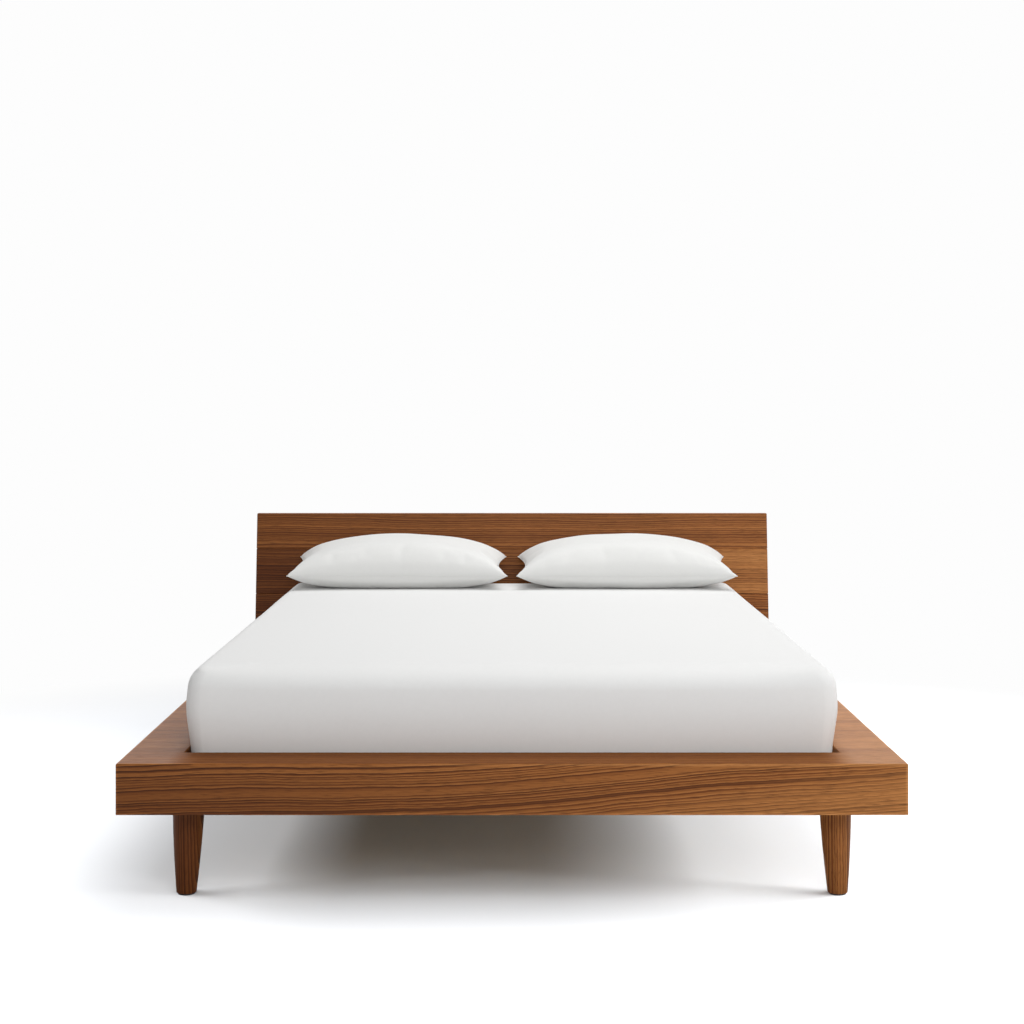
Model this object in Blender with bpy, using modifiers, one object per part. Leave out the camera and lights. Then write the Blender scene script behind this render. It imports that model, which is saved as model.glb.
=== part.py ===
"""Wooden platform bed with a raked headboard, a queen mattress and two pillows.

Metres, +Z up. The front of the bed faces -Y and the headboard stands at +Y.
The origin is on the floor under the centre of the whole bed.
Run with: blender --background --python part.py
"""
import math

import bmesh
import bpy
from mathutils import Matrix, Vector

# ---- driving dimensions ------------------------------------------------------------------

# Mattress and the well that takes it
MATTRESS_WIDTH = 1.524
MATTRESS_LENGTH = 2.032
MATTRESS_HEIGHT = 0.250
MATTRESS_EDGE_RADIUS = 0.050
MATTRESS_CLEARANCE = 0.006
WELL_DEPTH = 0.050

# Platform: upright rails under flat ledges
FLOOR_TO_RAIL = 0.215
RAIL_HEIGHT = 0.1165
BOARD_THICKNESS = 0.028
LEDGE_WIDTH = 0.132
REAR_LEDGE_WIDTH = 0.0585
ARRIS_RADIUS = 0.003
SMALL_BEVEL = 0.0015

# Slatted base
SLAT_COUNT = 12
SLAT_WIDTH = 0.096
SLAT_THICKNESS = 0.020
SLAT_END_CLEARANCE = 0.002
SLAT_EDGE_MARGIN = 0.030
LEDGER_WIDTH = 0.030
BEAM_WIDTH = 0.060
BEAM_DEPTH = 0.045
HANGER_THICKNESS = 0.0025
HANGER_REACH = 0.045
HANGER_FLANGE = (0.110, 0.070)

# Corner legs: turned, tapered and splayed outwards
LEG_INSET = 0.141
LEG_SPLAY = 0.0232
LEG_TOP_RADIUS = 0.0371
LEG_FOOT_RADIUS = 0.0236
LEG_SWELL = 1.45
LEG_FOOT_ROUND = 0.0025
GLIDE_THICKNESS = 0.003
GLIDE_INSET = 0.004
BLOCK_RECESS = 0.002
BLOCK_THICKNESS = 0.022
BLOCK_REACH = 0.075
PLATE_SIZE = 0.110
PLATE_THICKNESS = 0.0025
BOLT_RADIUS = 0.004
BOLT_IN_LEG = 0.034
BOLT_IN_BLOCK = 0.016
BOLT_CLEARANCE = 0.0012

# Legs under the centre beam, each on a levelling foot
CENTER_LEG_SIZE = 0.045
CENTER_LEG_FROM_WELL_FRONT = 0.915
CENTER_LEG_FROM_WELL_REAR = 0.425
FOOT_PAD_RADIUS = 0.020
FOOT_PAD_HEIGHT = 0.010
FOOT_STEM_RADIUS = 0.004
FOOT_STEM_LENGTH = 0.034
FOOT_BORE_CLEARANCE = 0.0005

# Headboard: three boards on two raked posts
HEADBOARD_BOARD_HEIGHTS = (0.1500, 0.1560, 0.1235)
HEADBOARD_SETBACK = 0.0135
HEADBOARD_RAKE = math.radians(7.3)
GROOVE_BEVEL = 0.0015
POST_WIDTH = 0.070
POST_DEPTH = 0.040
POST_SPACING = 1.100
POST_BELOW_TOP = 0.060

# Pillows
PILLOW_WIDTH = 0.733
PILLOW_DEPTH = 0.350
PILLOW_THICKNESS = 0.165
PILLOW_TILT = math.radians(6.0)
PILLOW_SPACING = 0.762
PILLOW_REAR_CLEARANCE = 0.012
PILLOW_CUTS = 6
PILLOW_EDGE_THINNING = 0.9
PILLOW_WAIST = 0.05

# Touching pieces keep this gap
GAP = 0.0003

# Facets of the round shapes
ARC_STEPS = 2
LEG_STEPS = 24
LEG_RINGS = 7
BOLT_STEPS = 16
FOOT_STEPS = 20
BORE_STEPS = 24
MATTRESS_EDGE_STEPS = 4

# ---- derived places ----------------------------------------------------------------------

MITRE_GAP = GAP / math.sqrt(2)
WELL_WIDTH = MATTRESS_WIDTH + 2 * MATTRESS_CLEARANCE
WELL_LENGTH = MATTRESS_LENGTH + 2 * MATTRESS_CLEARANCE
BED_WIDTH = WELL_WIDTH + 2 * LEDGE_WIDTH
PLATFORM_LENGTH = LEDGE_WIDTH + WELL_LENGTH + REAR_LEDGE_WIDTH
HALF_WIDTH = BED_WIDTH / 2
HALF_WELL = WELL_WIDTH / 2

LEDGE_TOP = FLOOR_TO_RAIL + RAIL_HEIGHT
LEDGE_UNDERSIDE = LEDGE_TOP - BOARD_THICKNESS
SLAT_TOP = LEDGE_TOP - WELL_DEPTH
SLAT_UNDERSIDE = SLAT_TOP - SLAT_THICKNESS
MATTRESS_BOTTOM = SLAT_TOP + GAP
MATTRESS_TOP = MATTRESS_BOTTOM + MATTRESS_HEIGHT
BLOCK_BOTTOM = FLOOR_TO_RAIL + BLOCK_RECESS
BLOCK_TOP = BLOCK_BOTTOM + BLOCK_THICKNESS
BEAM_TOP = SLAT_UNDERSIDE - GAP
BEAM_BOTTOM = BEAM_TOP - BEAM_DEPTH
LEG_TOP = BLOCK_BOTTOM - PLATE_THICKNESS - 2 * GAP
HEADBOARD_TOP = LEDGE_TOP + sum(HEADBOARD_BOARD_HEIGHTS)
PANEL_DEPTH = BOARD_THICKNESS / math.cos(HEADBOARD_RAKE)
POST_TOP = HEADBOARD_TOP - POST_BELOW_TOP


def headboard_setback(z):
    """Distance from the front of the bed to the headboard's front face at height z."""
    base = LEDGE_WIDTH + WELL_LENGTH + HEADBOARD_SETBACK
    return base + (z - LEDGE_TOP) * math.tan(HEADBOARD_RAKE)


OVERALL_DEPTH = max(
    headboard_setback(HEADBOARD_TOP) + PANEL_DEPTH,
    headboard_setback(POST_TOP) + PANEL_DEPTH + GAP + POST_DEPTH,
    PLATFORM_LENGTH + GAP + POST_DEPTH,
)
FRONT = -OVERALL_DEPTH / 2
REAR = FRONT + PLATFORM_LENGTH
WELL_FRONT = FRONT + LEDGE_WIDTH
WELL_REAR = WELL_FRONT + WELL_LENGTH
RAIL_INSIDE_REAR = REAR - BOARD_THICKNESS

SIDES = (("left", -1), ("right", 1))
CORNERS = (("front_left", -1, -1), ("front_right", 1, -1), ("rear_left", -1, 1), ("rear_right", 1, 1))

# ---- scene and helpers -------------------------------------------------------------------

for leftover in list(bpy.data.objects):
    bpy.data.objects.remove(leftover, do_unlink=True)

bed = bpy.data.collections.new("wooden_bed")
cutters = bpy.data.collections.new("cutters")
bpy.context.scene.collection.children.link(bed)
bpy.context.scene.collection.children.link(cutters)


def make_material(name, colour, roughness, metallic=0.0):
    """Principled material from a linear colour."""
    material = bpy.data.materials.new(name)
    material.use_nodes = True
    shader = material.node_tree.nodes["Principled BSDF"]
    shader.inputs["Base Color"].default_value = (*colour, 1.0)
    shader.inputs["Roughness"].default_value = roughness
    shader.inputs["Metallic"].default_value = metallic
    material.diffuse_color = (*colour, 1.0)
    return material


WALNUT = make_material("oiled_walnut", (0.190, 0.072, 0.026), 0.50)
PINE = make_material("planed_pine", (0.560, 0.370, 0.190), 0.60)
STEEL = make_material("zinc_plated_steel", (0.560, 0.570, 0.580), 0.35, 1.0)
NYLON = make_material("black_nylon", (0.020, 0.020, 0.020), 0.50)
COTTON = make_material("white_cotton", (0.820, 0.820, 0.815), 0.90)


def add_object(name, mesh, material, collection=bed):
    """Link a mesh as one named object."""
    obj = bpy.data.objects.new(name, mesh)
    collection.objects.link(obj)
    if material:
        mesh.materials.append(material)
    return obj


def mesh_from(bm, name):
    """Turn a bmesh into a mesh with its faces pointing out."""
    bm.normal_update()
    bmesh.ops.recalc_face_normals(bm, faces=bm.faces)
    mesh = bpy.data.meshes.new(name)
    bm.to_mesh(mesh)
    bm.free()
    return mesh


def bevelled(obj, width, segments=1):
    """Ease every edge of a piece."""
    modifier = obj.modifiers.new("ease", "BEVEL")
    modifier.width = width
    modifier.segments = segments
    modifier.limit_method = "ANGLE"
    return obj


def box(name, low, high, material, collection=bed):
    """A block between two corners, with its origin at its centre."""
    low, high = Vector(low), Vector(high)
    bm = bmesh.new()
    bmesh.ops.create_cube(bm, size=1.0)
    bmesh.ops.scale(bm, vec=high - low, verts=bm.verts)
    obj = add_object(name, mesh_from(bm, name), material, collection)
    obj.location = (low + high) / 2
    return obj


def extruded(outline, length):
    """Bmesh of an outline in Y and Z, drawn out along X and centred on X = 0."""
    bm = bmesh.new()
    face = bm.faces.new([bm.verts.new((-length / 2, y, z)) for y, z in outline])
    drawn = bmesh.ops.extrude_face_region(bm, geom=[face])
    moved = [item for item in drawn["geom"] if isinstance(item, bmesh.types.BMVert)]
    bmesh.ops.translate(bm, vec=(length, 0, 0), verts=moved)
    return bm


def arc(centre, radius, start, end, steps):
    """Points on an arc, with its angles in degrees."""
    angles = [math.radians(start + (end - start) * i / steps) for i in range(steps + 1)]
    return [(centre[0] + radius * math.cos(a), centre[1] + radius * math.sin(a)) for a in angles]


def turned(name, profile, steps, material):
    """A solid of revolution about Z. The profile runs down its outer side as (radius, z)."""
    bm = bmesh.new()
    points = [bm.verts.new((radius, 0, z)) for radius, z in profile]
    for upper, lower in zip(points, points[1:]):
        bm.edges.new((upper, lower))
    mesh = bpy.data.meshes.new(name)
    bm.to_mesh(mesh)
    bm.free()
    obj = add_object(name, mesh, material)
    screw = obj.modifiers.new("turn", "SCREW")
    screw.steps = steps
    screw.render_steps = steps
    screw.use_merge_vertices = True
    screw.merge_threshold = 0.00005
    screw.use_smooth_shade = True
    return obj


def baked(obj):
    """Give an object its evaluated mesh, so that its points can be moved."""
    evaluated = obj.evaluated_get(bpy.context.evaluated_depsgraph_get())
    mesh = bpy.data.meshes.new_from_object(evaluated)
    obj.modifiers.clear()
    obj.data = mesh
    return obj


def bored(obj, cutter):
    """Cut a cutter out of a piece."""
    modifier = obj.modifiers.new("bore", "BOOLEAN")
    modifier.operation = "DIFFERENCE"
    modifier.object = cutter
    return obj


def cutter_rod(name, radius, low, high, place):
    """A round cutter between two heights at a place in plan."""
    bm = bmesh.new()
    bmesh.ops.create_cone(
        bm, cap_ends=True, segments=BORE_STEPS, radius1=radius, radius2=radius, depth=high - low
    )
    obj = add_object(name, mesh_from(bm, name), None, cutters)
    obj.location = (place[0], place[1], (low + high) / 2)
    obj.hide_render = True
    obj.display_type = "WIRE"
    return obj


# ---- platform ----------------------------------------------------------------------------


def rail_outline():
    """Depth and height of a rail: mitred under the ledge, its top arris rounded."""
    centre = (ARRIS_RADIUS, LEDGE_TOP - ARRIS_RADIUS)
    at_mitre = 135 + math.degrees(math.asin(GAP / 2 / ARRIS_RADIUS))
    return (
        [(0, FLOOR_TO_RAIL)]
        + arc(centre, ARRIS_RADIUS, 180, at_mitre, ARC_STEPS)
        + [(BOARD_THICKNESS, LEDGE_UNDERSIDE - MITRE_GAP), (BOARD_THICKNESS, FLOOR_TO_RAIL)]
    )


def ledge_outline():
    """Depth and height of a ledge: mitred over the rail, its top arris rounded."""
    centre = (ARRIS_RADIUS, LEDGE_TOP - ARRIS_RADIUS)
    at_mitre = 135 - math.degrees(math.asin(GAP / 2 / ARRIS_RADIUS))
    return (
        arc(centre, ARRIS_RADIUS, at_mitre, 90, ARC_STEPS)
        + arc((LEDGE_WIDTH - SMALL_BEVEL, LEDGE_TOP - SMALL_BEVEL), SMALL_BEVEL, 90, 0, 1)
        + [(LEDGE_WIDTH, LEDGE_UNDERSIDE), (BOARD_THICKNESS + MITRE_GAP, LEDGE_UNDERSIDE)]
    )


def front_board(name, outline):
    """A board across the front, mitred at both ends in plan."""
    bm = extruded(outline, BED_WIDTH)
    for vert in bm.verts:
        vert.co.x -= math.copysign(vert.co.y + MITRE_GAP, vert.co.x)
    obj = add_object(name, mesh_from(bm, name), WALNUT)
    obj.location.y = FRONT
    return obj


def side_board(name, outline, side):
    """A board along one side, mitred in plan at its front end and square at its rear end."""
    bm = extruded(outline, PLATFORM_LENGTH)
    for vert in bm.verts:
        along, depth = vert.co.x, vert.co.y
        if along < 0:
            along += depth + MITRE_GAP
        vert.co.x = side * (HALF_WIDTH - depth)
        vert.co.y = along + PLATFORM_LENGTH / 2
    obj = add_object(name, mesh_from(bm, name), WALNUT)
    obj.location.y = FRONT
    return obj


def build_platform():
    """Rails and ledges that form the visible surround."""
    front_board("front_rail", rail_outline())
    front_board("front_ledge", ledge_outline())
    for word, side in SIDES:
        side_board(f"{word}_rail", rail_outline(), side)
        side_board(f"{word}_ledge", ledge_outline(), side)
    between_rails = HALF_WIDTH - BOARD_THICKNESS - GAP
    box(
        "rear_rail",
        (-between_rails, RAIL_INSIDE_REAR, FLOOR_TO_RAIL),
        (between_rails, REAR, LEDGE_UNDERSIDE - GAP),
        WALNUT,
    )
    between_ledges = HALF_WELL - GAP
    box(
        "rear_ledge",
        (-between_ledges, WELL_REAR, LEDGE_UNDERSIDE),
        (between_ledges, REAR, LEDGE_TOP),
        WALNUT,
    )


# ---- slatted base ------------------------------------------------------------------------


def build_inner_rails():
    """Rails under the inner edges of the ledges, with ledgers for the slat ends."""
    low, high = BLOCK_TOP + GAP, LEDGE_UNDERSIDE - GAP
    box(
        "front_inner_rail",
        (-HALF_WELL + GAP, WELL_FRONT - BOARD_THICKNESS, low),
        (HALF_WELL - GAP, WELL_FRONT, high),
        PINE,
    )
    for word, side in SIDES:
        across = sorted((side * HALF_WELL, side * (HALF_WELL + BOARD_THICKNESS)))
        box(
            f"{word}_inner_rail",
            (across[0], FRONT + BOARD_THICKNESS + GAP, low),
            (across[1], RAIL_INSIDE_REAR - GAP, high),
            PINE,
        )
        across = sorted((side * (HALF_WELL - GAP), side * (HALF_WELL - GAP - LEDGER_WIDTH)))
        box(
            f"{word}_ledger",
            (across[0], WELL_FRONT + GAP, low),
            (across[1], RAIL_INSIDE_REAR - GAP, SLAT_UNDERSIDE - GAP),
            PINE,
        )


def build_slats():
    """Evenly pitched slats across the well."""
    first = WELL_FRONT + SLAT_EDGE_MARGIN
    pitch = (WELL_LENGTH - 2 * SLAT_EDGE_MARGIN - SLAT_WIDTH) / (SLAT_COUNT - 1)
    half = HALF_WELL - SLAT_END_CLEARANCE
    for number in range(SLAT_COUNT):
        front = first + number * pitch
        slat = box(
            f"slat_{number + 1:02d}",
            (-half, front, SLAT_UNDERSIDE),
            (half, front + SLAT_WIDTH, SLAT_TOP),
            PINE,
        )
        bevelled(slat, SMALL_BEVEL)


def build_beam():
    """Centre beam that carries the middle of every slat, in a steel hanger at each end."""
    front_seat = WELL_FRONT + GAP
    rear_seat = RAIL_INSIDE_REAR - GAP
    end = HANGER_THICKNESS + GAP
    beam = box(
        "center_beam",
        (-BEAM_WIDTH / 2, front_seat + end, BEAM_BOTTOM),
        (BEAM_WIDTH / 2, rear_seat - end, BEAM_TOP),
        PINE,
    )
    bevelled(beam, SMALL_BEVEL)
    build_hanger("front_beam_hanger", front_seat, 1)
    build_hanger("rear_beam_hanger", rear_seat, -1)


def build_hanger(name, seat, inward):
    """A flange on the rail with a cradle under the beam. The cradle is cut from one block."""
    cheek = BEAM_WIDTH / 2 + GAP
    outside = cheek + HANGER_THICKNESS
    bottom = BEAM_BOTTOM - GAP - HANGER_THICKNESS
    cradle_top = BEAM_TOP - 2 * SMALL_BEVEL
    reach = seat + inward * HANGER_REACH
    back = seat + inward * HANGER_THICKNESS
    flange_width, flange_height = HANGER_FLANGE
    ys = sorted((seat, back))
    flange = box(
        name,
        (-flange_width / 2, ys[0], bottom),
        (flange_width / 2, ys[1], bottom + flange_height),
        STEEL,
    )
    ys = sorted((seat, reach))
    cradle = box(f"{name}_cradle", (-outside, ys[0], bottom), (outside, ys[1], cradle_top), None, cutters)
    ys = sorted((back, reach + inward * HANGER_THICKNESS))
    hollow = box(
        f"{name}_hollow",
        (-cheek, ys[0], bottom + HANGER_THICKNESS),
        (cheek, ys[1], cradle_top + HANGER_THICKNESS),
        None,
        cutters,
    )
    for helper in (cradle, hollow):
        helper.hide_render = True
        helper.display_type = "WIRE"
    join = flange.modifiers.new("join", "BOOLEAN")
    join.operation = "UNION"
    join.object = cradle
    bored(flange, hollow)


# ---- legs --------------------------------------------------------------------------------


def leg_profile():
    """Radius and height down the outside of a corner leg, with a bore for its bolt."""
    bore = BOLT_RADIUS + BOLT_CLEARANCE
    bore_end = LEG_TOP - BOLT_IN_LEG - GAP
    foot = GLIDE_THICKNESS + GAP
    side = []
    for ring in range(LEG_RINGS + 1):
        rise = 1 - ring / LEG_RINGS
        z = foot + LEG_FOOT_ROUND + (LEG_TOP - foot - LEG_FOOT_ROUND) * rise
        swell = 1 - (1 - rise) ** LEG_SWELL
        side.append((LEG_FOOT_RADIUS + (LEG_TOP_RADIUS - LEG_FOOT_RADIUS) * swell, z))
    toe_centre = (LEG_FOOT_RADIUS - LEG_FOOT_ROUND, foot + LEG_FOOT_ROUND)
    toe = arc(toe_centre, LEG_FOOT_ROUND, -30, -90, ARC_STEPS)
    return [(0, bore_end), (bore, bore_end), (bore, LEG_TOP)] + side + toe + [(0, foot)]


def build_corner(word, side, end):
    """Block, plate, bolt, leg and glide of one corner."""
    face_y = FRONT if end < 0 else REAR
    x = side * (HALF_WIDTH - LEG_INSET)
    y = face_y - end * LEG_INSET

    outer = HALF_WIDTH - BOARD_THICKNESS - GAP
    inner = HALF_WIDTH - LEG_INSET - BLOCK_REACH
    xs = sorted((side * outer, side * inner))
    ys = sorted((face_y - end * (BOARD_THICKNESS + GAP), face_y - end * (LEG_INSET + BLOCK_REACH)))
    block = box(f"{word}_corner_block", (xs[0], ys[0], BLOCK_BOTTOM), (xs[1], ys[1], BLOCK_TOP), PINE)

    plate_top = BLOCK_BOTTOM - GAP
    half = PLATE_SIZE / 2
    plate = box(
        f"{word}_leg_plate",
        (x - half, y - half, plate_top - PLATE_THICKNESS),
        (x + half, y + half, plate_top),
        STEEL,
    )
    bolt_low, bolt_high = LEG_TOP - BOLT_IN_LEG, BLOCK_BOTTOM + BOLT_IN_BLOCK
    cutter = cutter_rod(
        f"{word}_bolt_bore", BOLT_RADIUS + BOLT_CLEARANCE, bolt_low, bolt_high + GAP, (x, y)
    )
    bored(block, cutter)
    bored(plate, cutter)

    bolt = turned(
        f"{word}_leg_bolt",
        [(0, bolt_high), (BOLT_RADIUS, bolt_high), (BOLT_RADIUS, bolt_low), (0, bolt_low)],
        BOLT_STEPS,
        STEEL,
    )
    bolt.location = (x, y, 0)

    leg = baked(turned(f"{word}_leg", leg_profile(), LEG_STEPS, WALNUT))
    splay = Matrix.Identity(4)
    splay[0][2] = -side * LEG_SPLAY
    splay[1][2] = -end * LEG_SPLAY
    leg.data.transform(Matrix.Translation((0, 0, LEG_TOP)) @ splay @ Matrix.Translation((0, 0, -LEG_TOP)))
    leg.location = (x, y, 0)

    drift = LEG_SPLAY * (LEG_TOP - GLIDE_THICKNESS)
    radius = LEG_FOOT_RADIUS - GLIDE_INSET
    glide = turned(
        f"{word}_leg_glide",
        [(0, GLIDE_THICKNESS), (radius, GLIDE_THICKNESS), (radius, 0), (0, 0)],
        LEG_STEPS,
        NYLON,
    )
    glide.location = (x + side * drift, y + end * drift, 0)


def build_center_legs():
    """Square legs under the beam, each with a levelling foot screwed up into it."""
    places = (
        ("front", WELL_FRONT + CENTER_LEG_FROM_WELL_FRONT),
        ("rear", WELL_REAR - CENTER_LEG_FROM_WELL_REAR),
    )
    half = CENTER_LEG_SIZE / 2
    bottom = FOOT_PAD_HEIGHT + GAP
    stem_top = FOOT_PAD_HEIGHT + FOOT_STEM_LENGTH
    for word, y in places:
        leg = box(
            f"{word}_center_leg",
            (-half, y - half, bottom),
            (half, y + half, BEAM_BOTTOM - GAP),
            PINE,
        )
        cutter = cutter_rod(
            f"{word}_foot_bore",
            FOOT_STEM_RADIUS + FOOT_BORE_CLEARANCE,
            bottom - FOOT_PAD_HEIGHT,
            stem_top + GAP,
            (0, y),
        )
        bored(leg, cutter)
        foot = turned(
            f"{word}_levelling_foot",
            [
                (0, stem_top),
                (FOOT_STEM_RADIUS, stem_top),
                (FOOT_STEM_RADIUS, FOOT_PAD_HEIGHT),
                (FOOT_PAD_RADIUS - SMALL_BEVEL, FOOT_PAD_HEIGHT),
                (FOOT_PAD_RADIUS, FOOT_PAD_HEIGHT - SMALL_BEVEL),
                (FOOT_PAD_RADIUS, 0),
                (0, 0),
            ],
            FOOT_STEPS,
            NYLON,
        )
        foot.location = (0, y, 0)


# ---- headboard ---------------------------------------------------------------------------


def build_headboard():
    """Three raked boards, one above another, with a small groove at each joint."""
    low = LEDGE_TOP + GAP
    for number, height in enumerate(HEADBOARD_BOARD_HEIGHTS):
        high = LEDGE_TOP + sum(HEADBOARD_BOARD_HEIGHTS[: number + 1])
        corners = [
            (headboard_setback(low), low),
            (headboard_setback(high), high),
            (headboard_setback(high) + PANEL_DEPTH, high),
            (headboard_setback(low) + PANEL_DEPTH, low),
        ]
        name = f"headboard_board_{number + 1}"
        board = add_object(name, mesh_from(extruded(corners, BED_WIDTH), name), WALNUT)
        board.location.y = FRONT
        bevelled(board, GROOVE_BEVEL)
        low = high + GAP


def build_posts():
    """Posts behind the headboard, notched over the rear ledge and fixed to the rear rail."""
    seat = LEDGE_TOP + GAP
    tail_front = PLATFORM_LENGTH + GAP
    behind_panel = PANEL_DEPTH + GAP
    outline = [
        (tail_front, FLOOR_TO_RAIL),
        (tail_front, seat),
        (headboard_setback(seat) + behind_panel, seat),
        (headboard_setback(POST_TOP) + behind_panel, POST_TOP),
        (headboard_setback(POST_TOP) + behind_panel + POST_DEPTH, POST_TOP),
        (tail_front + POST_DEPTH, seat),
        (tail_front + POST_DEPTH, FLOOR_TO_RAIL),
    ]
    for word, side in SIDES:
        name = f"{word}_headboard_post"
        post = add_object(name, mesh_from(extruded(outline, POST_WIDTH), name), WALNUT)
        post.location = (side * POST_SPACING / 2, FRONT, 0)


# ---- mattress and pillows ----------------------------------------------------------------


def build_mattress():
    """Plain solid of the mattress, standing in the well."""
    front = WELL_FRONT + MATTRESS_CLEARANCE
    mattress = box(
        "mattress",
        (-MATTRESS_WIDTH / 2, front, MATTRESS_BOTTOM),
        (MATTRESS_WIDTH / 2, front + MATTRESS_LENGTH, MATTRESS_TOP),
        COTTON,
    )
    bevelled(mattress, MATTRESS_EDGE_RADIUS, MATTRESS_EDGE_STEPS)


def pillow_point(u, v, w):
    """A point of the pillow from cube coordinates between -1 and 1: thin edges, drawn corners."""
    thin = math.sqrt((1 - PILLOW_EDGE_THINNING * u ** 4) * (1 - PILLOW_EDGE_THINNING * v ** 4))
    across = u * (1 - PILLOW_WAIST * (1 - v * v) * u * u)
    along = v * (1 - PILLOW_WAIST * (1 - u * u) * v * v)
    return Vector((PILLOW_WIDTH / 2 * across, PILLOW_DEPTH / 2 * along, PILLOW_THICKNESS / 2 * w * thin))


def build_pillows():
    """Two pillows side by side on the mattress, their rear edges raised to the headboard."""
    tilt = Matrix.Rotation(PILLOW_TILT, 4, "X")
    rear_limit = FRONT + headboard_setback(MATTRESS_TOP) - PILLOW_REAR_CLEARANCE
    for word, side in SIDES:
        bm = bmesh.new()
        bmesh.ops.create_cube(bm, size=2.0)
        bmesh.ops.subdivide_edges(bm, edges=bm.edges, cuts=PILLOW_CUTS, use_grid_fill=True)
        for vert in bm.verts:
            vert.co = tilt @ pillow_point(*vert.co)
        lowest = min(vert.co.z for vert in bm.verts)
        rearmost = max(vert.co.y for vert in bm.verts)
        name = f"{word}_pillow"
        pillow = add_object(name, mesh_from(bm, name), COTTON)
        pillow.data.shade_smooth()
        pillow.location = (
            side * PILLOW_SPACING / 2,
            rear_limit - rearmost,
            MATTRESS_TOP + GAP - lowest,
        )


build_platform()
build_inner_rails()
build_slats()
build_beam()
for corner in CORNERS:
    build_corner(*corner)
build_center_legs()
build_headboard()
build_posts()
build_mattress()
build_pillows()
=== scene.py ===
import math

import bmesh
import bpy
import numpy as np
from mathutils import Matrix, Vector, noise


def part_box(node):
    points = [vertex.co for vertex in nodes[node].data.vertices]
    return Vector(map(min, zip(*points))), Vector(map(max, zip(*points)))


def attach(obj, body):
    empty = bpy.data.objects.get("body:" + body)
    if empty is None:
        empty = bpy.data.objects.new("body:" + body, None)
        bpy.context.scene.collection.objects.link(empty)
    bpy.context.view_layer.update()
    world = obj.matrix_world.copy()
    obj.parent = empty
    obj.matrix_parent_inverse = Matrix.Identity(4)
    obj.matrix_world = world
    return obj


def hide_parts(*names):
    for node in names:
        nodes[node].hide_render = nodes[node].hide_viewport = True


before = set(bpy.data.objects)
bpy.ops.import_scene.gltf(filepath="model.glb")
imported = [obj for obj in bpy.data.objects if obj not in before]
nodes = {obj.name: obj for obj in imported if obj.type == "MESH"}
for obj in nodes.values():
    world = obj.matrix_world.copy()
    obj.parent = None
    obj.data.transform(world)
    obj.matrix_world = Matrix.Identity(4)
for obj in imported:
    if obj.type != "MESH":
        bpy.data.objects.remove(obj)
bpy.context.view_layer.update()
scene = bpy.context.scene
print("frame loaded:", len(nodes), "nodes")

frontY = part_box("front_rail")[0].y
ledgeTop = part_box("front_ledge")[1].z
mattressLow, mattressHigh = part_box("mattress")


def hexToLinear(code):
    # sRGB hex to linear RGBA
    parts = [int(code[i:i + 2], 16) / 255 for i in (1, 3, 5)]
    return tuple(c / 12.92 if c <= 0.04045 else ((c + 0.055) / 1.055) ** 2.4 for c in parts) + (1.0,)


def addNode(tree, kind, settings=None, inputs=None):
    # one node: its operation or properties, then its inputs by name or in order, as values or links
    node = tree.nodes.new(kind)
    if isinstance(settings, str):
        settings = {"operation": settings}
    for key, value in (settings or {}).items():
        setattr(node, key, value)
    for key, value in inputs.items() if isinstance(inputs, dict) else enumerate(inputs or ()):
        if isinstance(value, bpy.types.Node):
            value = value.outputs[0]
        if isinstance(value, bpy.types.NodeSocket):
            tree.links.new(value, node.inputs[key])
        else:
            node.inputs[key].default_value = value
    return node


def newMaterial(name):
    material = bpy.data.materials.new(name)
    material.use_nodes = True
    material.node_tree.nodes.clear()
    return material, material.node_tree


def setRamp(node, stops):
    # stops are (position, hex) pairs
    ramp = node.color_ramp
    while len(ramp.elements) < len(stops):
        ramp.elements.new(0.5)
    for element, (position, code) in zip(ramp.elements, stops):
        element.position = position
        element.color = hexToLinear(code)


def paintMesh(mesh, material):
    mesh.materials.clear()
    mesh.materials.append(material)


def meshFrom(bm, name):
    mesh = bpy.data.meshes.new(name)
    bm.to_mesh(mesh)
    bm.free()
    return mesh


def addPiece(name, mesh, material, body):
    # a finished piece: its object at the origin, riding on its body
    piece = bpy.data.objects.new(name, mesh)
    scene.collection.objects.link(piece)
    paintMesh(mesh, material)
    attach(piece, body)
    return piece


def joinedWords(name):
    # front_left becomes FrontLeft
    return "".join(part.capitalize() for part in name.split("_"))


def smoothStep(t):
    t = max(0, min(1, t))
    return t * t * (3 - 2 * t)


# oiled walnut, planed and rubbed by hand: dark late growth on warm brown, open pores, a soft satin
walnutLook = {
    "ringWidth": 0.0078,     # one year's growth as it meets the face
    "streakWidth": 0.0048,   # finer streaks between the rings
    "bandWidth": 0.060,      # broad light and dark bands
    "sway": 0.070,           # how far a ring wanders along a board
    "ripple": 0.008,
    "wiggle": 0.0018,
    "fibreLength": 0.034,
    "fibreWidth": 0.0018,
    "rings": ((0.24, "#42230e"), (0.38, "#713f1c"), (0.50, "#905729"), (0.68, "#a66a37")),
    "contrast": 1.0,
    "bandShare": 0.16,
    "dark": "#a28e7b",
    "light": "#d29255",
    "fibreDark": "#41230f",
    "fibreShare": 0.55,
    "roughness": 0.46,
    "specular": 0.14,
    "bump": 0.00012,
    "wear": 0.34,            # how pale an edge gets, from wear and a painted highlight
    "wearAndHighlightWidth": 0.0075,
}
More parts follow.
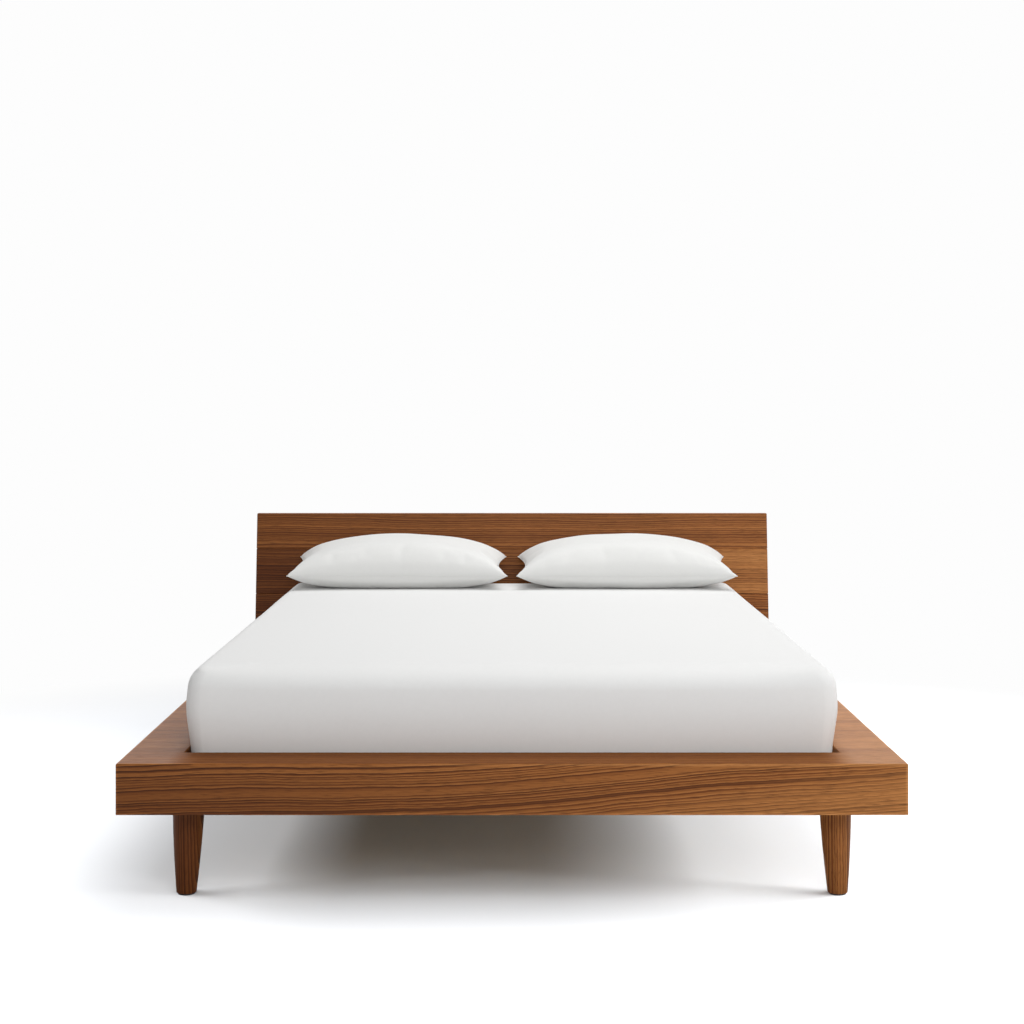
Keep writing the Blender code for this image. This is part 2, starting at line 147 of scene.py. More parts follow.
# planed pine, left bare: wide pale rings and little shine
pineLook = {
    "ringWidth": 0.0160,
    "streakWidth": 0.0090,
    "bandWidth": 0.080,
    "sway": 0.060,
    "ripple": 0.004,
    "wiggle": 0.0010,
    "fibreLength": 0.090,
    "fibreWidth": 0.0016,
    "rings": ((0.24, "#c9995c"), (0.38, "#dfb77f"), (0.52, "#e8c896"), (0.72, "#efd5a8")),
    "contrast": 1.0,
    "bandShare": 0.16,
    "dark": "#cfc4b4",
    "light": "#f3e0bd",
    "fibreDark": "#b98d57",
    "fibreShare": 0.25,
    "roughness": 0.58,
    "specular": 0.35,
    "bump": 0.00010,
}
grainSizes = {
    "changeOver": 3.3,           # rings over which their width changes
    "changeBy": 2.4,
    "boardHalf": 0.9,            # tones and painted shade run from one end of the widest board to the other
    "edgeStart": 0.001,
    "poreGloss": (0.08, -0.05),  # a pore is rougher than the wood beside it
}
# noises drawn out along the grain: length and width in metres, and detail
grainNoises = {
    "sway": (1.1, 0.55, 1.0),
    "ripple": (0.16, 0.07, 2.0),
    "wiggle": (0.035, 0.02, 1.0),
    "patch": (0.30, 0.05, 2.0),  # patches along an edge where the wear and painted highlight show
}
grainTurns = {"X": (0, 0, 0), "Y": (0, 0, -math.pi / 2), "Z": (0, math.pi / 2, 0)}


def woodMaterial(name, look, grain="X", place=(0, 0, 0), lean=0.9, tonesAndShade=(0.0, 0.0), climb=(0.0, 0.0),
                 sheenAndPolishFrom=None, worn=None):
    # a solid block of timber: rings are bands of one warped coordinate, drawn out along the grain
    material, tree = newMaterial(name)
    coords = addNode(tree, "ShaderNodeTexCoord").outputs["Object"]
    along = addNode(tree, "ShaderNodeSeparateXYZ", inputs=[coords])
    alongX = along.outputs["X"]
    board = addNode(tree, "ShaderNodeMapping", {"vector_type": "POINT"}, {
        "Vector": coords, "Location": place, "Rotation": grainTurns[grain]})
    axes = addNode(tree, "ShaderNodeSeparateXYZ", inputs=[board])
    noises = dict(grainNoises, fibre=(look["fibreLength"], look["fibreWidth"], 3.0))
    if not worn:
        del noises["patch"]
    for part, (length, width, detail) in noises.items():
        scaled = addNode(tree, "ShaderNodeVectorMath", "MULTIPLY", (board, (1 / length, 1 / width, 1 / width)))
        noises[part] = addNode(tree, "ShaderNodeTexNoise", inputs={
            "Vector": scaled, "Scale": 1.0, "Detail": detail, "Roughness": 0.55})
    fibre = noises["fibre"]

    # the rings wander along the board, and climb more steeply towards its far end
    ring = addNode(tree, "ShaderNodeMath", "MULTIPLY", (axes.outputs["Y"], math.cos(lean)))
    ring = addNode(tree, "ShaderNodeMath", "MULTIPLY_ADD", (axes.outputs["Z"], math.sin(lean), ring))
    for part in ("sway", "ripple", "wiggle"):
        waver = addNode(tree, "ShaderNodeMath", "MULTIPLY_ADD", (noises[part], look[part], -look[part] / 2))
        ring = addNode(tree, "ShaderNodeMath", "ADD", (ring, waver))
    slope = addNode(tree, "ShaderNodeMath", "MULTIPLY_ADD", (alongX, -climb[1], -climb[0]))
    ring = addNode(tree, "ShaderNodeMath", "MULTIPLY_ADD", (alongX, slope, ring))

    # across the rings: their uneven width, fine streaks and broad bands
    across = {
        "uneven": (look["ringWidth"] * grainSizes["changeOver"], 1.0, 0.5),
        "streaks": (look["streakWidth"], 3.0, 0.6),
        "bands": (look["bandWidth"], 1.0, 0.5),
    }
    for part, (width, detail, coarse) in across.items():
        count = addNode(tree, "ShaderNodeMath", "DIVIDE", (ring, width))
        across[part] = addNode(tree, "ShaderNodeTexNoise", {"noise_dimensions": "1D"}, {
            "W": count, "Scale": 1.0, "Detail": detail, "Roughness": coarse})
    # each ring darkens towards its late growth and stops short
    years = addNode(tree, "ShaderNodeMath", "DIVIDE", (ring, look["ringWidth"]))
    years = addNode(tree, "ShaderNodeMath", "MULTIPLY_ADD", (across["uneven"], grainSizes["changeBy"], years))
    growth = addNode(tree, "ShaderNodeMath", "FRACT", [years])
    growth = addNode(tree, "ShaderNodeMath", "SUBTRACT", (1.0, growth))
    growth = addNode(tree, "ShaderNodeMath", "ADD", (growth, across["streaks"]))
    growth = addNode(tree, "ShaderNodeMath", "MULTIPLY", (growth, 0.5))
    growth = addNode(tree, "ShaderNodeMath", "MULTIPLY_ADD", (
        growth, look["contrast"], 0.49 * (1 - look["contrast"])))
    ringColour = addNode(tree, "ShaderNodeValToRGB", inputs=[growth])
    setRamp(ringColour, look["rings"])

    # broad bands, and a slow change of tone along the board; where it runs darker to the left and lighter to the
    # right it is in part painted shade and light
    driftAndShade = addNode(tree, "ShaderNodeMapRange", inputs=(
        alongX, -grainSizes["boardHalf"], grainSizes["boardHalf"], *tonesAndShade))
    banding = addNode(tree, "ShaderNodeMapRange", inputs=(
        across["bands"], 0.3, 0.7, -look["bandShare"], look["bandShare"]))
    tone = addNode(tree, "ShaderNodeMath", "ADD", (driftAndShade, banding))
    roughness = look["roughness"]
    if sheenAndPolishFrom:
        # the sides of the ledge are smoother than its front, and painted lighter there as a painted sheen
        side = addNode(tree, "ShaderNodeMath", "ABSOLUTE", [alongX])
        sheenAndPolish = addNode(tree, "ShaderNodeMapRange", {"interpolation_type": "SMOOTHSTEP"}, (side, *sheenAndPolishFrom))
        tone = addNode(tree, "ShaderNodeMath", "MULTIPLY_ADD", (sheenAndPolish, look["paintedSheenTone"], tone))
        roughness = addNode(tree, "ShaderNodeMath", "MULTIPLY_ADD", (sheenAndPolish, look["polishSmoothing"], roughness))
    if worn:
        # edges painted pale, as wear and as a painted highlight along the arris: a point is on an edge where two
        # of its three distances to the box are small
        away = []
        for axis, low, high in zip("XYZ", *worn):
            depth = addNode(tree, "ShaderNodeMath", "SUBTRACT", (along.outputs[axis], (high + low) / 2))
            depth = addNode(tree, "ShaderNodeMath", "ABSOLUTE", [depth])
            away.append(addNode(tree, "ShaderNodeMath", "SUBTRACT", ((high - low) / 2, depth)))
        nearest = addNode(tree, "ShaderNodeMath", "MINIMUM", away[:2])
        second = addNode(tree, "ShaderNodeMath", "MAXIMUM", away[:2])
        second = addNode(tree, "ShaderNodeMath", "MINIMUM", (second, away[2]))
        second = addNode(tree, "ShaderNodeMath", "MAXIMUM", (nearest, second))
        wearAndHighlight = addNode(tree, "ShaderNodeMapRange", {"interpolation_type": "SMOOTHSTEP"}, (
            second, grainSizes["edgeStart"], look["wearAndHighlightWidth"], look["wear"], 0.0))
        wearAndHighlight = addNode(tree, "ShaderNodeMath", "MULTIPLY", (wearAndHighlight, noises["patch"]))
        tone = addNode(tree, "ShaderNodeMath", "MULTIPLY_ADD", (wearAndHighlight, 2.0, tone))
    darken = addNode(tree, "ShaderNodeMath", "MINIMUM", (tone, 0.0))
    darken = addNode(tree, "ShaderNodeMath", "MULTIPLY", (darken, -1.0))
    darker = addNode(tree, "ShaderNodeMix", {"data_type": "RGBA", "blend_type": "MULTIPLY"}, {
        0: darken, 6: ringColour, 7: hexToLinear(look["dark"])})
    lighten = addNode(tree, "ShaderNodeMath", "MAXIMUM", (tone, 0.0))
    lighter = addNode(tree, "ShaderNodeMix", {"data_type": "RGBA"}, {
        0: lighten, 6: darker.outputs[2], 7: hexToLinear(look["light"])})

    # fibres and open pores, a few millimetres wide so that they show
    fibreMask = addNode(tree, "ShaderNodeMapRange", inputs=(fibre, 0.50, 0.30, 0.0, look["fibreShare"]))
    colour = addNode(tree, "ShaderNodeMix", {"data_type": "RGBA"}, {
        0: fibreMask, 6: lighter.outputs[2], 7: hexToLinear(look["fibreDark"])})
    height = addNode(tree, "ShaderNodeMath", "MULTIPLY_ADD", (growth, 0.5, fibre))
    bump = addNode(tree, "ShaderNodeBump", inputs={"Strength": 0.5, "Distance": look["bump"], "Height": height})
    pores = addNode(tree, "ShaderNodeMapRange", inputs=(fibre, 0.3, 0.7, *grainSizes["poreGloss"]))
    gloss = addNode(tree, "ShaderNodeMath", "ADD", (pores, roughness))
    shader = addNode(tree, "ShaderNodeBsdfPrincipled", inputs={
        "Base Color": colour.outputs[2], "Roughness": gloss,
        "Specular IOR Level": look["specular"], "Normal": bump})
    addNode(tree, "ShaderNodeOutputMaterial", inputs=[shader])
    return material


cottonLook = {
    "sheet": "#e6e6e5",
    "pillowcase": "#e0e0de",
    "thread": 0.0012,        # percale threads are 0.3 mm apart; drawn coarser so that they show close up
    "weaveDepth": 0.00004,
    "slub": 90.0,            # uneven yarn, about every 11 mm
    "roughness": 0.85,
    "sheen": 0.25,
}


def cottonMaterial(name, colour, flatMap=None):
    # woven percale cotton: matte white with a faint sheen and a plain weave
    material, tree = newMaterial(name)
    coords = addNode(tree, "ShaderNodeTexCoord")
    if flatMap:
        threads = addNode(tree, "ShaderNodeUVMap", {"uv_map": flatMap})
    else:
        threads = coords.outputs["Object"]
    frequency = math.pi * 2 / cottonLook["thread"]
    scaled = addNode(tree, "ShaderNodeVectorMath", "SCALE", {0: threads, "Scale": frequency})
    axes = addNode(tree, "ShaderNodeSeparateXYZ", inputs=[scaled])
    warp = addNode(tree, "ShaderNodeMath", "SINE", [axes.outputs["X"]])
    weft = addNode(tree, "ShaderNodeMath", "SINE", [axes.outputs["Y"]])
    weave = addNode(tree, "ShaderNodeMath", "MULTIPLY", (warp, weft))
    slub = addNode(tree, "ShaderNodeTexNoise", inputs={
        "Vector": coords.outputs["Object"], "Scale": cottonLook["slub"], "Detail": 3.0, "Roughness": 0.6})
    height = addNode(tree, "ShaderNodeMath", "MULTIPLY_ADD", (slub, 3.0, weave))
    bump = addNode(tree, "ShaderNodeBump", inputs={
        "Strength": 0.6, "Distance": cottonLook["weaveDepth"], "Height": height})
    tint = addNode(tree, "ShaderNodeMapRange", inputs=(slub, 0.3, 0.7, 0.985, 1.0))
    shade = addNode(tree, "ShaderNodeMix", {"data_type": "RGBA", "blend_type": "MULTIPLY"}, {
        0: 1.0, 6: hexToLinear(colour), 7: tint})
    shader = addNode(tree, "ShaderNodeBsdfPrincipled", inputs={
        "Base Color": shade.outputs[2], "Roughness": cottonLook["roughness"],
        "Sheen Weight": cottonLook["sheen"], "Sheen Roughness": 0.5, "Specular IOR Level": 0.25,
        "Normal": bump})
    addNode(tree, "ShaderNodeOutputMaterial", inputs=[shader])
    return material


mottle = {
    "grit": 0.002,           # cloudiness in the surface, drawn coarser than its 0.2 mm so that it shows
    "depth": 0.00003,
    "shade": 0.88,
    "glossSpread": 0.06,
}


def plainMaterial(name, colour, roughness, metallic=0.0):
    # a moulded or plated finish with a fine mottle
    material, tree = newMaterial(name)
    coords = addNode(tree, "ShaderNodeTexCoord")
    cloud = addNode(tree, "ShaderNodeTexNoise", inputs={
        "Vector": coords.outputs["Object"], "Scale": 1 / mottle["grit"], "Detail": 3.0})
    tint = addNode(tree, "ShaderNodeMapRange", inputs=(cloud, 0.3, 0.7, mottle["shade"], 1.0))
    shade = addNode(tree, "ShaderNodeMix", {"data_type": "RGBA", "blend_type": "MULTIPLY"}, {
        0: 1.0, 6: hexToLinear(colour), 7: tint})
    gloss = addNode(tree, "ShaderNodeMapRange", inputs=(
        cloud, 0.3, 0.7, roughness - mottle["glossSpread"], roughness + mottle["glossSpread"]))
    bump = addNode(tree, "ShaderNodeBump", inputs={
        "Strength": 0.4, "Distance": mottle["depth"], "Height": cloud})
    shader = addNode(tree, "ShaderNodeBsdfPrincipled", inputs={
        "Base Color": shade.outputs[2], "Roughness": gloss, "Metallic": metallic,
        "Normal": bump})
    addNode(tree, "ShaderNodeOutputMaterial", inputs=[shader])
    return material


zincSteel = plainMaterial("zincPlatedSteel", "#b9bcbf", 0.36, 1.0)   # bright, slightly cloudy plating
blackNylon = plainMaterial("blackNylon", "#1b1b1c", 0.5)             # moulded glides and feet
sheetCotton = cottonMaterial("percaleMattressCover", cottonLook["sheet"])
pillowCotton = cottonMaterial("percalePillowcase", cottonLook["pillowcase"], "flatPattern")

# each board is its own piece of wood, with its own place in the tree
ledgeLook = dict(walnutLook, specular=0.13, roughness=0.84, paintedSheenTone=0.50, polishSmoothing=-0.44, rings=(
    (0.24, "#3a1d0a"), (0.38, "#6a3a17"), (0.50, "#8a5222"), (0.68, "#a0642e")))
headboardLook = dict(walnutLook, ringWidth=0.0074, contrast=0.80, ripple=0.006)
postLook = dict(walnutLook, ringWidth=0.0070, sway=0.020)
# the ledge is darker across its front middle and lighter at its sides: painted shade before the mattress, painted
# sheen at the sides
ledgeBoard = {"look": ledgeLook, "place": (0.40, 0.33, 1.20), "lean": 0.40, "tonesAndShade": (-0.50, -0.12),
              "sheenAndPolishFrom": (0.70, 0.80)}
# most boards run darker to the left and lighter to the right: in part the wood's tone, in part painted shade and
# light as if lit from the right
walnutBoards = {
    "front_rail": {"place": (3.10, 0.20, 0.47), "lean": 1.20, "tonesAndShade": (-0.62, 0.28), "climb": (0.052, 0.026)},
    "left_rail": {"grain": "Y", "place": (1.70, 0.90, 0.35), "lean": 1.10, "tonesAndShade": (-0.40, 0.0)},
    "right_rail": {"grain": "Y", "place": (5.20, 1.40, 0.75), "lean": 1.00, "tonesAndShade": (0.0, 0.10)},
    "rear_rail": {"place": (8.30, 0.60, 0.15), "lean": 1.05, "tonesAndShade": (-0.4, -0.1)},
    "front_ledge": ledgeBoard,
    "left_ledge": ledgeBoard,
    "right_ledge": ledgeBoard,
    "rear_ledge": ledgeBoard,
    # the two lower boards are darker on the left: painted shade below the pillows
    "headboard_board_1": {"look": headboardLook, "place": (6.10, 2.20, 0.90), "lean": 1.20,
                          "tonesAndShade": (-0.86, 0.0)},
    "headboard_board_2": {"look": headboardLook, "place": (2.30, 1.10, 0.31), "lean": 1.20,
                          "tonesAndShade": (-0.95, 0.34)},
    "headboard_board_3": {"look": headboardLook, "place": (9.40, 0.50, 0.66), "lean": 1.20,
                          "tonesAndShade": (-0.52, -0.02)},
    "left_headboard_post": {"look": postLook, "grain": "Z", "place": (4.10, 3.30, 0.20), "lean": 0.80,
                            "tonesAndShade": (-0.2, -0.2)},
    "right_headboard_post": {"look": postLook, "grain": "Z", "place": (7.70, 1.90, 0.80), "lean": 0.80,
                             "tonesAndShade": (-0.1, -0.1)},
}
for nodeName, board in walnutBoards.items():
    if nodeName.endswith("_rail"):
        board["worn"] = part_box(nodeName)
    if nodeName.endswith("_ledge"):
        board["worn"] = (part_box("front_ledge")[0], (*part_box("right_ledge")[1][:2], ledgeTop))
    walnut = woodMaterial("oiledWalnut" + joinedWords(nodeName), **{"look": walnutLook, **board})
    paintMesh(nodes[nodeName].data, walnut)

pineBoards = {
    "X": [name for name in nodes if name.startswith("slat_")] + ["front_inner_rail"],
    "Y": ["left_inner_rail", "right_inner_rail", "left_ledger", "right_ledger", "center_beam"]
         + [name for name in nodes if name.endswith("corner_block")],
    "Z": ["front_center_leg", "rear_center_leg"],
}
for grain, names in pineBoards.items():
    pine = woodMaterial("planedPine" + grain, pineLook, grain=grain, place=(1.3, 0.7, 0.4), lean=0.7)
    for name in names:
        paintMesh(nodes[name].data, pine)
for name in nodes:
    if name.endswith(("leg_plate", "leg_bolt", "hanger")):
        paintMesh(nodes[name].data, zincSteel)
    if name.endswith(("leg_glide", "levelling_foot")):
        paintMesh(nodes[name].data, blackNylon)
print("timber and metal finished")

legShape = {
    "topRadius": 0.0371,
    "footRadius": 0.0236,
    "swell": 1.45,
    "footRound": 0.0030,
    "footTurns": (-20, -90),     # degrees round the foot's edge
    "footSteps": 5,
    "topEase": 0.0010,
    "rings": 26,
    "sides": 64,
    "sharpFrom": 50,
}


def turnedLeg(corner, name):
    # the turned blank is sheared towards its corner, so its foot stays level
    low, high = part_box(corner + "_leg")
    glideLow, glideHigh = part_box(corner + "_leg_glide")
    top = Vector(((low.x + high.x) / 2, (low.y + high.y) / 2, high.z))
    foot = Vector(((glideLow.x + glideHigh.x) / 2, (glideLow.y + glideHigh.y) / 2, low.z))
    profile = [(0.0, high.z), (legShape["topRadius"] - legShape["topEase"], high.z)]
    for ring in range(legShape["rings"] + 1):
        rise = 1 - ring / legShape["rings"]
        z = low.z + legShape["footRound"] + (high.z - legShape["topEase"] - low.z - legShape["footRound"]) * rise
        swell = 1 - (1 - rise) ** legShape["swell"]
        profile.append((legShape["footRadius"] + (legShape["topRadius"] - legShape["footRadius"]) * swell, z))
    firstTurn, lastTurn = legShape["footTurns"]
    for step in range(1, legShape["footSteps"] + 1):
        turn = math.radians(firstTurn + (lastTurn - firstTurn) * step / legShape["footSteps"])
        profile.append((
            legShape["footRadius"] - legShape["footRound"] * (1 - math.cos(turn)),
            low.z + legShape["footRound"] * (1 + math.sin(turn))))
    profile.append((0.0, low.z))
    bm = bmesh.new()
    turns = [math.tau * k / legShape["sides"] for k in range(legShape["sides"])]
    rows = []
    for radius, z in profile:
        centre = foot.lerp(top, (z - foot.z) / (top.z - foot.z))
        centre.z = z
        # a pole is one point, shared by its whole row
        points = [Vector((math.cos(turn), math.sin(turn), 0)) for turn in (turns if radius else turns[:1])]
        row = [bm.verts.new(centre + point * radius) for point in points]
        rows.append(row if radius else row * len(turns))
    for upper, lower in zip(rows, rows[1:]):
        for k in range(len(turns)):
            bm.faces.new(dict.fromkeys((upper[k - 1], lower[k - 1], lower[k], upper[k])))
    bmesh.ops.recalc_face_normals(bm, faces=bm.faces)
    mesh = meshFrom(bm, name)
    mesh.shade_smooth()
    mesh.set_sharp_from_angle(angle=math.radians(legShape["sharpFrom"]))
    return mesh


legLook = dict(walnutLook, ringWidth=0.0062, streakWidth=0.004, sway=0.012, ripple=0.003, contrast=0.85)
# the front left leg is darker and the front right lighter: painted shade and light, as if lit from the right
legTimber = {
    "front_left": {"place": (0.13, 0.21, 0.40), "tonesAndShade": (-0.75, -0.75)},
    "front_right": {"place": (0.57, 1.31, 0.90), "tonesAndShade": (0.10, 0.10)},
    "rear_left": {"place": (1.17, 0.71, 0.20), "tonesAndShade": (-0.50, -0.50)},
    "rear_right": {"place": (2.07, 0.41, 0.60), "tonesAndShade": (-0.30, -0.30)},
}
for corner, timber in legTimber.items():
    name = "turnedLeg" + joinedWords(corner)
    legWood = woodMaterial("oiledWalnutLeg" + joinedWords(corner), legLook, grain="Z", lean=1.38, **timber)
    leg = addPiece(name, turnedLeg(corner, name), legWood, "bed_frame")
    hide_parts(corner + "_leg")
print("legs turned")


def startTree(name, sizes):
    # a Geometry Nodes tree with its named inputs: each size with its default, and the finish
    group = bpy.data.node_groups.new(name, "GeometryNodeTree")
    group.interface.new_socket("Geometry", in_out="INPUT", socket_type="NodeSocketGeometry")
    for label, value in sizes.items():
        group.interface.new_socket(label, in_out="INPUT", socket_type="NodeSocketFloat").default_value = value
    group.interface.new_socket("Finish", in_out="INPUT", socket_type="NodeSocketMaterial")
    group.interface.new_socket("Geometry", in_out="OUTPUT", socket_type="NodeSocketGeometry")
    return group, addNode(group, "NodeGroupInput").outputs


def endTree(group, given, copies):
    # the copies become real faces with their finish
    real = addNode(group, "GeometryNodeRealizeInstances", inputs=[copies])
    painted = addNode(group, "GeometryNodeSetMaterial", inputs={"Geometry": real, "Material": given["Finish"]})
    addNode(group, "NodeGroupOutput", inputs=[painted])
    return group


def grownMesh(name, base, group, values):
    # runs the tree on a base mesh and keeps the result as a plain mesh
    grower = bpy.data.objects.new(name + "Base", base)
    scene.collection.objects.link(grower)
    modifier = grower.modifiers.new("grow", "NODES")
    modifier.node_group = group
    identifiers = {item.name: item.identifier for item in group.interface.items_tree if item.in_out == "INPUT"}
    for label, value in values.items():
        modifier[identifiers[label]] = value
    depsgraph = bpy.context.evaluated_depsgraph_get()
    mesh = bpy.data.meshes.new_from_object(grower.evaluated_get(depsgraph))
    mesh.name = name
    bpy.data.objects.remove(grower)
    return mesh


screwHead = {"sides": 12, "domeLift": 0.35, "domeShare": 0.82, "socketTaper": 0.96}


def socketScrewTree():
    # a domed head with a hexagonal socket on every point, facing the way the point says
    group, given = startTree("socketScrewHeads", {
        "Head Radius": 0.005, "Head Height": 0.002, "Socket Radius": 0.0022, "Socket Depth": 0.0012})

    def raised(mesh, selection, lift, scale):
        step = addNode(group, "GeometryNodeExtrudeMesh", {"mode": "FACES"}, {
            "Mesh": mesh, "Selection": selection, "Offset Scale": lift, "Individual": False})
        sized = addNode(group, "GeometryNodeScaleElements", {"domain": "FACE"}, {
            "Geometry": step.outputs["Mesh"], "Selection": step.outputs["Top"], "Scale": scale})
        return sized, step.outputs["Top"]

    drum = addNode(group, "GeometryNodeMeshCylinder", {"fill_type": "NGON"}, {
        "Vertices": screwHead["sides"], "Radius": given["Head Radius"], "Depth": given["Head Height"]})
    dome = addNode(group, "ShaderNodeMath", "MULTIPLY", (given["Head Height"], screwHead["domeLift"]))
    mesh, top = raised(drum, drum.outputs["Top"], dome, screwHead["domeShare"])
    rim = addNode(group, "ShaderNodeMath", "MULTIPLY", (given["Head Radius"], screwHead["domeShare"]))
    ratio = addNode(group, "ShaderNodeMath", "DIVIDE", (given["Socket Radius"], rim))
    mesh, top = raised(mesh, top, 0.0, ratio)
    # every second corner of the inner ring moves in to the flat of a hexagon
    place = addNode(group, "GeometryNodeInputPosition")
    axes = addNode(group, "ShaderNodeSeparateXYZ", inputs=[place])
    moveIn = addNode(group, "ShaderNodeMath", "ARCTAN2", (axes.outputs["Y"], axes.outputs["X"]))
    for operation, value in (("DIVIDE", math.pi / 6), ("ROUND", 0.0), ("FLOORED_MODULO", 2.0),
                             ("MULTIPLY", math.cos(math.pi / 6) - 1), ("ADD", 1.0)):
        moveIn = addNode(group, "ShaderNodeMath", operation, (moveIn, value))
    flats = [addNode(group, "ShaderNodeMath", "MULTIPLY", (axes.outputs[axis], moveIn)) for axis in "XY"]
    hexagon = addNode(group, "ShaderNodeCombineXYZ", inputs=(*flats, axes.outputs["Z"]))
    shaped = addNode(group, "GeometryNodeSetPosition", inputs={
        "Geometry": mesh, "Selection": top, "Position": hexagon})
    depth = addNode(group, "ShaderNodeMath", "MULTIPLY", (given["Socket Depth"], -1.0))
    mesh, top = raised(shaped, top, depth, screwHead["socketTaper"])
    facing = addNode(group, "GeometryNodeInputNamedAttribute", {"data_type": "FLOAT_VECTOR"}, {"Name": "facing"})
    turned = addNode(group, "FunctionNodeAlignRotationToVector", {"axis": "Z"}, {"Vector": facing})
    heads = addNode(group, "GeometryNodeInstanceOnPoints", inputs={
        "Points": given["Geometry"], "Instance": mesh, "Rotation": turned})
    return endTree(group, given, heads)


def pointMesh(name, points):
    # bare points, each with the direction it faces
    mesh = bpy.data.meshes.new(name)
    mesh.from_pydata([place for place, facing in points], [], [])
    facings = mesh.attributes.new("facing", "FLOAT_VECTOR", "POINT")
    facings.data.foreach_set("vector", [value for place, facing in points for value in facing])
    return mesh


# metres, for each sort of screw
screwSizes = {
    "Head Radius": {"slatScrews": 0.0042, "plateScrews": 0.0048, "postBolts": 0.0085},
    "Head Height": {"slatScrews": 0.0012, "plateScrews": 0.0022, "postBolts": 0.0035},
    "Socket Radius": {"slatScrews": 0.0018, "plateScrews": 0.0020, "postBolts": 0.0036},
    "Socket Depth": {"slatScrews": 0.0009, "plateScrews": 0.0014, "postBolts": 0.0024},
}
screwPlaces = {
    "slatInset": 0.0150,
    "slatSpread": 0.0280,
    "slatStandOff": 0.0003,      # a slat's screws are nearly flush
    "standOff": 0.0006,
    "ledgerStep": 0.0380,        # from every second slat to a ledger screw
    "flangeThickness": 0.0025,
    "plateSpread": 0.0440,
    "blockInset": 0.0160,
    "flangeSpread": 0.0440,
    "flangeHeights": (0.018, 0.052),
    "postSpread": 0.0180,
    "postGap": 0.0003,
    "tailDepth": 0.0400,
    "boltStandOff": 0.0010,
    "tailHeights": (0.030, 0.085),
    "boardHeights": (0.075, 0.225, 0.345),
}
spots = {"slatScrews": [], "plateScrews": [], "postBolts": []}
standOff, slatStandOff = screwPlaces["standOff"], screwPlaces["slatStandOff"]
for name in nodes:
    low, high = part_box(name)
    middle = (low + high) / 2
    if name.startswith("slat_"):
        inset, spread = screwPlaces["slatInset"], screwPlaces["slatSpread"]
        for x in (low.x + inset, 0, high.x - inset):
            for y in ((middle.y,) if x == 0 else (middle.y - spread, middle.y + spread)):
                spots["slatScrews"].append(((x, y, high.z + slatStandOff), (0, 0, 1)))
        if int(name[-2:]) % 2 == 0:
            for side in ("left_ledger", "right_ledger"):
                ledgerLow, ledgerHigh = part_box(side)
                inner = ledgerHigh.x if ledgerHigh.x < 0 else ledgerLow.x
                facing = (1, 0, 0) if ledgerHigh.x < 0 else (-1, 0, 0)
                spots["slatScrews"].append(((
                    inner + facing[0] * slatStandOff, high.y + screwPlaces["ledgerStep"],
                    (ledgerLow.z + ledgerHigh.z) / 2), facing))
    if name.endswith("leg_plate"):
        spread = screwPlaces["plateSpread"]
        for dx in (-spread, spread):
            for dy in (-spread, spread):
                spots["plateScrews"].append(((middle.x + dx, middle.y + dy, low.z - standOff), (0, 0, -1)))
    if name.endswith("corner_block"):
        inset = screwPlaces["blockInset"]
        for x in (low.x + inset, high.x - inset):
            for y in (low.y + inset, high.y - inset):
                spots["plateScrews"].append(((x, y, low.z - standOff), (0, 0, -1)))
    if name.endswith("beam_hanger"):
        isFront = middle.y < 0
        y = low.y + screwPlaces["flangeThickness"] if isFront else high.y - screwPlaces["flangeThickness"]
        facing = (0, 1, 0) if isFront else (0, -1, 0)
        for x in (-screwPlaces["flangeSpread"], screwPlaces["flangeSpread"]):
            for height in screwPlaces["flangeHeights"]:
                spots["plateScrews"].append(((x, y + facing[1] * standOff, low.z + height), facing))
    if name.endswith("headboard_post"):
        # the tail of a post is upright, and its back leans out from the ledge to the top
        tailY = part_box("rear_rail")[1].y + screwPlaces["postGap"] + screwPlaces["tailDepth"]
        leanOut = (high.y - tailY) / (high.z - ledgeTop)
        for height in screwPlaces["tailHeights"]:
            spots["postBolts"].append(((middle.x, tailY + screwPlaces["boltStandOff"], low.z + height), (0, 1, 0)))
        for height in screwPlaces["boardHeights"]:
            for dx in (-screwPlaces["postSpread"], screwPlaces["postSpread"]):
                spots["plateScrews"].append((
                    (middle.x + dx, tailY + leanOut * height + standOff, ledgeTop + height), (0, 1, -leanOut)))
screwTree = socketScrewTree()
for name, places in spots.items():
    sizes = {label: bySort[name] for label, bySort in screwSizes.items()}
    heads = grownMesh(name, pointMesh(name + "Points", places), screwTree, dict(sizes, Finish=zincSteel))
    addPiece(name, heads, zincSteel, "bed_frame")
    print(name, len(places), "heads")

mattressShape = {
    "rollReach": (0.036, 0.084),     # the top edge rolls over, more gently at the ends than at the sides
    "rollDrop": (0.046, 0.054),
    "cornerTightening": 0.66,        # the end rolls tighten towards the corners
    "footReach": 0.022,
    "footDrop": 0.026,
    "cornerRadius": 0.040,
    "bulge": (0.009, 0.002),         # the sides stand proud below the roll, the ends hardly
    "bulgeBand": (0.62, 0.26),       # height and spread, as shares of the whole height
    "waist": (0.004, 0.001),         # and draw in where the well grips them
    "waistBand": (0.12, 0.20),
    "crown": 0.004,
    "cell": 0.024,
    "edgeCells": 9,
    "softness": 0.0012,              # slow unevenness of the filling
    "softScale": (3.1, 3.1, 6.0),
    "softSeed": 11,
}


def edgedSteps(low, high, reachLow, reachHigh, cell, edgeCells):
    # positions from low to high, closer together in the rounded edges
    middle = max(2, round((high - reachHigh - low - reachLow) / cell))
    start = [low + reachLow * i / edgeCells for i in range(edgeCells)]
    centre = [low + reachLow + (high - reachHigh - low - reachLow) * i / middle for i in range(middle + 1)]
    end = [high - reachHigh * i / edgeCells for i in range(edgeCells - 1, -1, -1)]
    return start + centre + end


